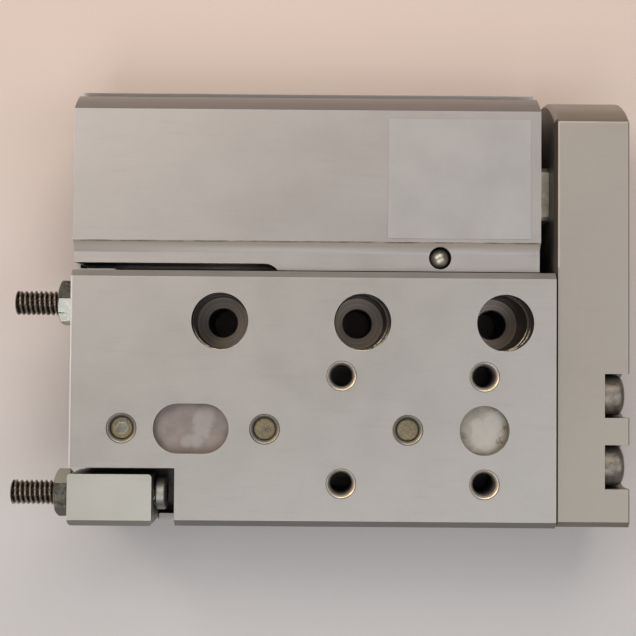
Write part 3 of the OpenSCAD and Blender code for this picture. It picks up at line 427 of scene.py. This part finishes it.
def ground_steel(name, colour):
    g = Graph(name)
    lines = g.noise(0.06 * MM, 2, stretch=(40, 1, 1))
    base = g.mix(g.remap(lines, 0.3, 0.7), shade(colour, 0.8), shade(colour, 1.2))
    return g.finish(base, 0.85, g.remap(lines, 0.3, 0.7, 0.35, 0.5), g.bump(lines, 0.01 * MM, 0.4))


def screw_tip(name, colour):
    """Cut screw tips with a dried olive film of thread locker."""
    g = Graph(name)
    film = g.noise(1.4 * MM, 3)
    specks = g.noise(0.25 * MM, 3, rough=0.7)
    base = g.mix(g.remap(film, 0.3, 0.7), colour, (0.19, 0.152, 0.08))
    base = g.mix(g.remap(specks, 0.55, 0.64, 0, 0.6), base, (0.30, 0.27, 0.20))
    base = g.mix(g.remap(specks, 0.43, 0.37, 0, 0.75), base, (0.05, 0.038, 0.022))
    # Painted shade: the edge round each tip is painted near black.
    base = g.mix(g.edge_mask(0.42 * MM), base, (0.022, 0.017, 0.011))
    return g.finish(base, 0.5, g.remap(film, 0.3, 0.7, 0.3, 0.5), g.bump(film, 0.12 * MM, 0.6))


def rubber(name, colour):
    g = Graph(name)
    grain = g.noise(0.08 * MM, 3)
    base = g.mix(g.remap(grain, 0.3, 0.7), shade(colour, 0.7), shade(colour, 1.4))
    return g.finish(base, 0.0, 0.7, g.bump(grain, 0.01 * MM, 0.5))


def label_film(name, colour):
    """A bare film, smoother than the anodised face round it."""
    g = Graph(name)
    weave = g.noise(0.25 * MM, 3)
    clouds = g.noise(5 * MM, 3)
    base = g.mix(g.remap(clouds, 0.3, 0.7), shade(colour, 0.96), shade(colour, 1.04))
    base = g.mix(g.remap(weave, 0.4, 0.7, 0, 0.15), base, shade(colour, 0.8))
    return g.finish(base, 0.4, g.remap(clouds, 0.3, 0.7, 0.38, 0.44), g.bump(weave, 0.01 * MM, 0.3))


def pocket_floor(name, colour, tint, centre, patches, spots=()):
    """Milled floor of a centring recess: patches of a pale dried film with a ragged edge, dirt, and
    painted shade round its edge.

    Each patch and spot is (x, y, radius) in millimetres from the centre.
    """
    g = Graph(name)
    blotch = g.noise(1.6 * MM, 3)
    ragged = g.noise(1.1 * MM, 4, rough=0.6)
    specks = g.noise(0.35 * MM, 3, rough=0.7)
    film = near_points(g, centre, patches, ragged, 0.6)
    base = g.mix(g.remap(blotch, 0.35, 0.65), shade(colour, 0.88), shade(colour, 1.1))
    base = g.mix(g.calc("MULTIPLY", film, 0.55), base, tint)
    dirt = g.calc("MULTIPLY", near_points(g, centre, spots, ragged, 0.8), g.remap(specks, 0.42, 0.56))
    base = g.mix(g.calc("MULTIPLY", dirt, 0.8), base, DIRT_AND_SHADE)
    # Painted shade: the floor darker round its edge.
    base = g.mix(g.calc("MULTIPLY", g.corners(0.8 * MM), 0.6), base, DIRT_AND_SHADE)
    height = g.calc("ADD", film, g.calc("MULTIPLY", blotch, 0.5))
    return g.finish(base, 0.3, g.remap(film, 0, 1, 0.5, 0.38), g.bump(height, 0.03 * MM, 0.4))


def near_points(g, centre, points, ragged, raggedness):
    """1 near any of the points (x, y, radius), with an edge broken up by a noise."""
    mask = 0.0
    shift = g.calc("MULTIPLY", g.calc("SUBTRACT", ragged, 0.5), raggedness * 2)
    for x, y, radius in points:
        away = g.distance((centre[0] + x * MM, centre[1] + y * MM))
        broken = g.calc("ADD", g.calc("DIVIDE", away, radius * MM), shift)
        mask = g.calc("MAXIMUM", mask, g.remap(broken, 1.25, 0.7))
    return mask


def cut_edge(name, colour, top, rim):
    """Bright countersink, cut through the anodised skin, with a dark line where the skin ends."""
    g = Graph(name)
    line = g.remap(g.coordinate("Z"), top - rim * 1.2, top - rim * 0.8)
    turned = g.noise(0.06 * MM, 2, stretch=(8, 8, 1))
    base = g.mix(g.remap(turned, 0.3, 0.7), shade(colour, 0.85), shade(colour, 1.15))
    # Painted light and shade: the side facing the back left is lighter and warmer, the other side darker.
    sunlit = g.facing((-0.6, 0.6, 0.0))
    base = g.mix(g.remap(sunlit, -0.35, 0.4, 0.65, 0.0), base, shade(colour, 0.4))
    base = g.mix(g.remap(sunlit, 0.3, 0.6), base, (colour[0] * 1.15, colour[1] * 1.05, colour[2] * 0.85))
    base = g.mix(g.calc("MULTIPLY", line, 0.85), base, (0.05, 0.04, 0.03))
    return g.finish(base, 0.5, g.remap(turned, 0.3, 0.7, 0.25, 0.4))


# ---- Places, from the record and the CAD's boxes ----

def mount(name):
    """A mount's row in the record."""
    return next(m for m in frame["record"]["mounts"] if m["name"] == name)


SLIDE_LOW, SLIDE_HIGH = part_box("slide_plate")
YOKE_LOW, YOKE_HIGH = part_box("yoke_plate")
HOUSING_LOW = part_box("housing")[0]
LABEL_LOW, LABEL_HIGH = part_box("label")
ACCESS_Y = mount("housing_bolt_middle")["pos_m"][1]

# Each box is its low and its high corner. Small lengths in them are margins off the next face, and SPAN
# reaches past the part on both sides.
# ACCESS_BORES, UNDER_SLIDE, NOTCH and YOKE_SEAM mark faces painted near black as shade.
ACCESS_BORES = (
    (SLIDE_LOW[0] + 5 * MM, ACCESS_Y - ACCESS_REACH, 0),
    (SLIDE_HIGH[0] - MM, ACCESS_Y + ACCESS_REACH, SLIDE_HIGH[2] - 0.13 * MM),
)
UNDER_SLIDE = (
    (HOUSING_LOW[0] + 0.15 * MM, SLIDE_LOW[1] + MM, MM),
    (LABEL_HIGH[0] + MM, SLIDE_HIGH[1] - 0.1 * MM, SLIDE_HIGH[2] - WING_T - 0.1 * MM),
)
NOTCH = (
    (SLIDE_LOW[0] + 2.5 * MM, SLIDE_LOW[1] + 0.9 * MM, SLIDE_LOW[2] - MM),
    (SLIDE_LOW[0] + NOTCH_L + 0.02 * MM, SLIDE_LOW[1] + NOTCH_W + 0.02 * MM, SLIDE_HIGH[2] - 0.12 * MM),
)
# SLIDE_END, YOKE_EDGES and HUMP_EDGE mark edges painted lighter as a highlight.
SLIDE_END = (
    (SLIDE_LOW[0] - MM, SLIDE_LOW[1] + NOTCH_W, SLIDE_HIGH[2] - 0.3 * MM),
    (SLIDE_LOW[0] + 0.22 * MM, SLIDE_HIGH[1] - MM, SLIDE_HIGH[2] + MM),
)
YOKE_SEAM = (
    (YOKE_LOW[0] - MM, YOKE_LOW[1], YOKE_HIGH[2] - 0.55 * MM),
    (YOKE_LOW[0] + YOKE_CHAMFER, YOKE_HIGH[1], YOKE_HIGH[2] + MM),
)
YOKE_EDGES = (
    ((YOKE_LOW[0] + 0.45 * MM, SLIDE_HIGH[1], YOKE_HIGH[2] - 0.1 * MM),
     (YOKE_LOW[0] + 0.7 * MM, YOKE_HIGH[1] - YOKE_FLAT_IN, YOKE_HIGH[2] + MM)),
    ((YOKE_LOW[0] + 0.45 * MM, YOKE_HIGH[1] - YOKE_FLAT_IN - 0.2 * MM, YOKE_HIGH[2] - 0.1 * MM),
     (YOKE_HIGH[0], YOKE_HIGH[1] - YOKE_FLAT_IN + 0.02 * MM, YOKE_HIGH[2] + MM)),
)
HUMP_EDGE = (
    (-SPAN, cad_high[1] - 1.5 * MM, SLIDE_HIGH[2] - 9 * MM),
    (SPAN, cad_high[1] + MM, SLIDE_HIGH[2] - 2 * MM),
)
# COVE marks the hollow corner painted paler as light, with a painted shade line along its top.
COVE = (
    (-SPAN, LABEL_LOW[1] - LABEL_IN - COVE_W, LABEL_LOW[2] - COVE_DEPTH + 0.02 * MM),
    (SPAN, LABEL_LOW[1] - LABEL_IN + 0.05 * MM, LABEL_LOW[2] + 0.001 * MM),
)

MATERIALS = {
    "housing_anodised": anodised("housing_anodised", (0.326, 0.306, 0.293), shaded_boxes=(UNDER_SLIDE,), cove=COVE,
                                 chamfer=(1.0, 0.85), highlight_boxes=(HUMP_EDGE,)),
    "slide_anodised": anodised("slide_anodised", (0.340, 0.322, 0.303), shaded_boxes=(ACCESS_BORES, NOTCH),
                               chamfer=(0.82, 1.2), highlight_boxes=(SLIDE_END,)),
    "block_anodised": anodised("block_anodised", (0.395, 0.387, 0.352), chamfer=(0.85, 1.0)),
    "yoke_anodised": anodised("yoke_anodised", (0.282, 0.252, 0.215), rough=0.4, shaded_boxes=(YOKE_SEAM,),
                              far=(0.345, 0.314, 0.28), highlight_boxes=YOKE_EDGES, smeared=0.08),
    "bearing_aluminium": turned_aluminium("bearing_aluminium", (0.20, 0.165, 0.14)),
    "hardened_steel": ground_steel("hardened_steel", (0.10, 0.095, 0.09)),
    "bright_steel": worn_steel("bright_steel", (0.38, 0.36, 0.30), 0.36, spots=0.15),
    "head_steel": worn_steel("head_steel", (0.18, 0.162, 0.137), 0.42, spots=0.35, metallic=0.7),
    "thread_steel": thread_steel("thread_steel", (0.035, 0.027, 0.02), (0.52, 0.47, 0.40)),
    "dull_steel": worn_steel("dull_steel", (0.215, 0.20, 0.165), 0.14, spots=0.15,
                             facet_shades=((0.065, 0.063, 0.052), (0.37, 0.40, 0.345))),
    "zinc_steel": worn_steel("zinc_steel", (0.35, 0.345, 0.305), 0.28, spots=0.05, edges=1.6),
    "black_steel": worn_steel("black_steel", (0.05, 0.048, 0.045), 0.4),
    "screw_tip_steel": screw_tip("screw_tip_steel", (0.15, 0.128, 0.085)),
    "black_rubber": rubber("black_rubber", (0.02, 0.02, 0.02)),
    "cage_brass": ground_steel("cage_brass", (0.55, 0.42, 0.20)),
    "magnet": rubber("magnet", (0.08, 0.08, 0.09)),
    "label_film": label_film("label_film", (0.372, 0.358, 0.35)),
}
HOLE_FLOOR = pocket_floor("hole_floor", (0.27, 0.243, 0.20), (0.46, 0.44, 0.405),
                          mount("slide_centring_hole")["pos_m"],
                          patches=((0.4, -1.2, 2.4), (-0.6, 0.2, 1.3), (1.4, 0.9, 1.7)),
                          spots=((-2.7, -0.9, 0.5), (2.5, -1.6, 0.7), (3.2, 0.3, 0.5)))
SLOT_FLOOR = pocket_floor("slot_floor", (0.225, 0.187, 0.17), (0.36, 0.33, 0.315),
                          mount("slide_centring_slot")["pos_m"],
                          patches=((1.6, 1.2, 1.5), (1.3, -0.3, 1.2), (-0.6, -1.9, 1.0), (0.6, -1.7, 1.0)))
TIP_MARK = worn_steel("tip_mark", (0.17, 0.165, 0.135), 0.4, spots=0.2, metallic=0.5, edges=1.5)
CUT_EDGE = cut_edge("cut_edge", (0.86, 0.79, 0.68), SLIDE_HIGH[2], CUT_RIM)
TIP_EDGE = cut_edge("tip_edge", (0.42, 0.40, 0.35), SLIDE_HIGH[2], CUT_RIM)
BORE_RIM = bore_edge("bore_rim", (0.72, 0.64, 0.48), (0.06, 0.052, 0.045), ACCESS_Y)


def dress_nodes():
    """Gives each CAD node its material and softly rounded edges."""
    for row in frame["record"]["subparts"]:
        piece = frame["nodes"][row["node"]]
        piece.data.materials.clear()
        piece.data.materials.append(MATERIALS[row["material_slot"]])
        weld = piece.modifiers.new("weld", "WELD")
        weld.merge_threshold = WELD_REACH
        bevel = piece.modifiers.new("round_edges", "BEVEL")
        bevel.width = FINE_EDGES.get(row["node"], EDGE_ROUNDING)
        bevel.segments = 2
        bevel.limit_method = "ANGLE"
        bevel.angle_limit = math.radians(NUT_EDGE_ANGLE if row["node"].endswith("_nut") else EDGE_ANGLE)
        bevel.use_clamp_overlap = True


# ---- Pieces made here ----

def add_mesh(name, points, faces, material, smooth=True):
    mesh = bpy.data.meshes.new(name)
    mesh.from_pydata(points, [], faces)
    mesh.update()
    mesh.materials.append(material)
    mesh.polygons.foreach_set("use_smooth", [smooth] * len(mesh.polygons))
    piece = bpy.data.objects.new(name, mesh)
    bpy.context.scene.collection.objects.link(piece)
    return piece


def thicken(piece, side):
    """Gives an open skin a small thickness, along its normals or, with side -1, against them."""
    solid = piece.modifiers.new("thicken", "SOLIDIFY")
    solid.thickness = SKIN
    solid.offset = side


def ringed_mesh(name, rings, place, material, segments=48, closed=True):
    """A skin over rings of (distance along the axis, radius, thread depth), placed by a matrix from Z."""
    points = []
    cuts = []
    for along, radius, depth in rings:
        for j in range(segments):
            turn = j / segments
            phase = (along / THREAD_PITCH - turn) % 1.0
            # 0 along the crest and 1 along the root, each about a ninth of the pitch wide
            share = min(1.0, max(0.0, 2.6 * abs(phase - 0.5) - 0.15))
            cuts.append(share if depth else FLAT_CUT)
            cut = share * depth
            angle = 2 * math.pi * turn
            points.append(place @ Vector(((radius - cut) * math.cos(angle), (radius - cut) * math.sin(angle),
                                          along)))
    faces = []
    for i in range(len(rings) - 1):
        low, high = i * segments, (i + 1) * segments
        for j in range(segments):
            k = (j + 1) % segments
            faces.append((low + j, low + k, high + k, high + j))
    if closed:
        faces.append(tuple(reversed(range(segments))))
        faces.append(tuple(range((len(rings) - 1) * segments, len(rings) * segments)))
    piece = add_mesh(name, points, faces, material)
    piece.data.attributes.new(CUT, "FLOAT", "POINT").data.foreach_set("value", cuts)
    return piece


def thread_rings(start, end, radius, depth, fade=0.5 * MM):
    """Rings along a thread that fades out at both ends."""
    count = round((end - start) / (THREAD_PITCH / THREAD_STEPS))
    rings = []
    for i in range(count + 1):
        along = start + (end - start) * i / count
        rings.append((along, radius, depth * min(1.0, (along - start) / fade, (end - along) / fade)))
    return rings


def stop_screw(node, body, cap=0.0):
    """The threaded stop screw in place of a plain CAD rod; cap is its length in front of the thread."""
    low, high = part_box(node)
    buffer_low, buffer_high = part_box(node.replace("screw", "buffer"))
    middle_y = (buffer_low[1] + buffer_high[1]) / 2
    middle_z = (buffer_low[2] + buffer_high[2]) / 2
    length = high[0] - low[0]
    face_r = STOP_R - STOP_BEVEL
    thread_end = length - cap
    rings = [(STOP_FACE_SUNK, AXIS_R, 0), (0, face_r - STOP_FACE_IN, 0), (0, face_r, 0)]
    rings += thread_rings(STOP_BEVEL, thread_end, STOP_R, STOP_THREAD_DEPTH, fade=STOP_BEVEL)
    if cap:
        cap_r = (high[1] - low[1]) / 2
        edge = STOP_CAP_EDGE
        rings += [(thread_end, cap_r - edge, 0), (thread_end + edge, cap_r, 0), (length - edge, cap_r, 0),
                  (length, cap_r - edge, 0)]
    rings += [(length, BUFFER_R, 0), (length - BUFFER_BORE, BUFFER_R, 0), (length - BUFFER_BORE, AXIS_R, 0)]
    place = Matrix.Translation((low[0], middle_y, middle_z)) @ Matrix.Rotation(math.pi / 2, 4, "Y")
    piece = ringed_mesh(node + "_threaded", rings, place, MATERIALS["thread_steel"], segments=64)
    sharpen(piece, 30)
    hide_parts(node)
    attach(piece, body)


def sharpen(piece, degrees):
    """Keeps edges above an angle crisp on a smooth mesh."""
    piece.data.set_sharp_from_angle(angle=math.radians(degrees))


def slide_thread_places():
    row = mount("slide_bolts")
    x, y, z = row["pos_m"]
    half_x = row["dims"]["spacing_x_mm"] / 2 * MM
    half_y = row["dims"]["spacing_y_mm"] / 2 * MM
    return [(x + i * half_x, y + j * half_y, z) for i in (-1, 1) for j in (-1, 1)]


def slide_threads():
    """Thread turns inside the four tapped holes of the slide plate."""
    depth = SLIDE_HIGH[2] - SLIDE_LOW[2] - THREAD_MOUTH - 0.1 * MM
    for number, (x, y, z) in enumerate(slide_thread_places(), 1):
        rings = thread_rings(0, depth, SLIDE_THREAD_R + 0.01 * MM, TAP_DEPTH)
        place = Matrix.Translation((x, y, z - THREAD_MOUTH - depth))
        piece = ringed_mesh("slide_thread_%d" % number, rings, place, MATERIALS["slide_anodised"], 32, False)
        thicken(piece, 1)
        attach(piece, "slide")


def rail_screw_places():
    """The middles of the three rail screws, at the slide's top, from the box round their heads."""
    low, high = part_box("rail_screws")
    pitch = (high[0] - low[0] - 2 * RAIL_HEAD_R) / (RAIL_SCREWS - 1)
    middle_y = (low[1] + high[1]) / 2
    return [(low[0] + RAIL_HEAD_R + i * pitch, middle_y, SLIDE_HIGH[2]) for i in range(RAIL_SCREWS)]


def countersinks():
    """Bright cones at the mouths of the slide plate's threads."""
    rows = [(spot, CUT_EDGE) for spot in slide_thread_places()]
    rows += [(spot, TIP_EDGE) for spot in rail_screw_places()]
    for number, ((x, y, z), material) in enumerate(rows, 1):
        rings = [(0, SLIDE_THREAD_R - 0.03 * MM, 0), (THREAD_MOUTH, SLIDE_THREAD_R + MOUTH_FLARE, 0)]
        place = Matrix.Translation((x, y, z - THREAD_MOUTH))
        piece = ringed_mesh("countersink_%d" % number, rings, place, material, 48, False)
        thicken(piece, 1)
        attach(piece, "slide")


def tip_mark():
    """A small six-sided bright mark in the middle of the rearmost screw tip."""
    x, y, _ = rail_screw_places()[0]
    tip_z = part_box("rail_screws")[1][2]
    piece = ringed_mesh("tip_mark", TIP_MARK_RINGS, Matrix.Translation((x, y, tip_z)), TIP_MARK, 6)
    sharpen(piece, 10)
    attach(piece, "slide")


def turned_seats():
    """Concentric tool marks on the counterbore seats under the access holes."""
    x, y, _ = mount("housing_bolt_middle")["pos_m"]
    pitch = mount("housing_bolts")["dims"]["spacing_x_mm"] / 2 * MM
    count = int((SEAT_OUTER - SEAT_INNER) / SEAT_RING_STEP)
    rings = [(SEAT_RING_DEPTH * (i % 2), SEAT_INNER + i * SEAT_RING_STEP, 0) for i in range(count)]
    for number in range(3):
        name = "turned_seat_%d" % (number + 1)
        place = Matrix.Translation((x + (number - 1) * pitch, y, SEAT_Z))
        material = turned_face(name, (0.30, 0.255, 0.225), place.translation)
        piece = ringed_mesh(name, rings, place, material, 48, False)
        thicken(piece, 1)
        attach(piece, "housing")


def bore_rims():
    """The lower edges of the slide's access holes, and the edges of the counterbores below them, with a
    painted highlight on their near side.
    """
    pitch = mount("housing_bolts")["dims"]["spacing_x_mm"] / 2 * MM
    bolt_x = mount("housing_bolt_middle")["pos_m"][0]
    rows = (
        ("access_rim", "slide", SLIDE_X_SHIFT, SLIDE_HIGH[2] - WING_T, (0, 1, 2)),
        ("counterbore_rim", "housing", 0.0, SLIDE_HIGH[2] - WING_T - WING_GAP, (1, 2)),
    )
    for name, body, shift, z, numbers in rows:
        for number in numbers:
            rings = [(0, BORE_R - RIM_W, 0), (RIM_W, BORE_R + 0.02 * MM, 0)]
            place = Matrix.Translation((bolt_x + shift + (number - 1) * pitch, ACCESS_Y, z - RIM_W))
            piece = ringed_mesh("%s_%d" % (name, number + 1), rings, place, BORE_RIM, 48, False)
            thicken(piece, 1)
            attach(piece, body)


def stadium(length, width, segments=16):
    """Corner points of a slot with round ends, round the origin."""
    half = (length - width) / 2
    points = []
    for i in range(2 * segments + 2):
        side = 1 if i <= segments else -1
        angle = -math.pi / 2 + math.pi * (i if side > 0 else i - 1) / segments
        points.append((side * half + width / 2 * math.cos(angle), width / 2 * math.sin(angle)))
    return points


def recess_floors():
    """The milled floors of the slide's centring hole and slot."""
    for name, length, material in (("slide_centring_hole", RECESS_W, HOLE_FLOOR),
                                   ("slide_centring_slot", RECESS_SLOT_L, SLOT_FLOOR)):
        x, y, z = mount(name)["pos_m"]
        outline = stadium(length - RECESS_PLAY, RECESS_W - RECESS_PLAY)
        points = [(x + px, y + py, z - RECESS_FLOOR_IN) for px, py in outline]
        piece = add_mesh(name + "_floor", points, [tuple(range(len(points)))], material, False)
        thicken(piece, -1)
        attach(piece, "slide")


# ---- Stage ----

def make_camera():
    """A camera above the part, turned a little about its own view line."""
    back = (CAMERA_PLACE - CAMERA_TARGET).normalized()
    right = Vector((0, 1, 0)).cross(back).normalized()
    up = back.cross(right)
    turned_right = right * math.cos(CAMERA_ROLL) + up * math.sin(CAMERA_ROLL)
    turned_up = up * math.cos(CAMERA_ROLL) - right * math.sin(CAMERA_ROLL)
    camera = bpy.data.objects.new("camera", bpy.data.cameras.new("camera"))
    camera.data.lens = CAMERA_LENS
    camera.data.sensor_width = 36
    camera.data.clip_start = 0.01
    camera.data.clip_end = 10
    camera.matrix_world = Matrix(
        [list(c) + [0] for c in (turned_right, turned_up, back)] + [[0, 0, 0, 1]]
    ).transposed()
    camera.location = CAMERA_PLACE
    bpy.context.scene.collection.objects.link(camera)
    bpy.context.scene.camera = camera


def add_lamp(name, place, size, power, colour):
    """A square soft lamp that looks at the slide table."""
    light = bpy.data.lights.new(name, "AREA")
    light.energy = power
    light.size = size
    light.color = colour
    lamp = bpy.data.objects.new(name, light)
    lamp.location = place
    lamp.rotation_euler = Vector(place).to_track_quat("Z", "Y").to_euler()
    bpy.context.scene.collection.objects.link(lamp)


def make_lights():
    """Soft lamps in a ring round the camera, and a sky that darkens towards the horizon."""
    for lamp in LAMPS:
        add_lamp(*lamp)
    world = bpy.data.worlds.new("sky")
    bpy.context.scene.world = world
    world.use_nodes = True
    tree = world.node_tree
    coord = tree.nodes.new("ShaderNodeTexCoord")
    split = tree.nodes.new("ShaderNodeSeparateXYZ")
    height = tree.nodes.new("ShaderNodeMapRange")
    height.inputs["From Min"].default_value = 0.25
    height.inputs["From Max"].default_value = 0.75
    mix = tree.nodes.new("ShaderNodeMix")
    mix.data_type = "RGBA"
    mix.inputs[6].default_value = SKY_LOW
    mix.inputs[7].default_value = SKY_HIGH
    tree.links.new(coord.outputs["Generated"], split.inputs["Vector"])
    tree.links.new(split.outputs["Z"], height.inputs["Value"])
    tree.links.new(height.outputs["Result"], mix.inputs["Factor"])
    tree.links.new(mix.outputs[2], tree.nodes["Background"].inputs["Color"])


def make_floor():
    """A paper ground just below the part, with painted light: darker and cooler in front, brighter and
    warmer at the back.
    """
    g = Graph("floor")
    painted_falloff = g.remap(g.coordinate("Y"), -0.045, 0.045)
    paper = g.noise(0.3 * MM, 3)
    base = g.mix(painted_falloff, FLOOR_FRONT, FLOOR_BACK)
    base = g.mix(g.remap(paper, 0.3, 0.7, 0, 0.05), base, (0.3, 0.3, 0.3))
    g.finish(base, 0.0, 0.8, g.bump(paper, 0.02 * MM, 0.4))
    corners = [(-SPAN, -SPAN, 0), (SPAN, -SPAN, 0), (SPAN, SPAN, 0), (-SPAN, SPAN, 0)]
    floor = add_mesh("floor", corners, [(0, 1, 2, 3)], g.material, False)
    floor.location.z = -FLOOR_DROP


dress_nodes()
stop_screw("retract_stop_screw", "retract_stop", cap=STOP_CAP_L)
stop_screw("extend_stop_screw", "extend_stop")
slide_threads()
countersinks()
tip_mark()
turned_seats()
bore_rims()
recess_floors()
make_camera()
make_lights()
make_floor()
bpy.context.scene.view_settings.view_transform = "Standard"
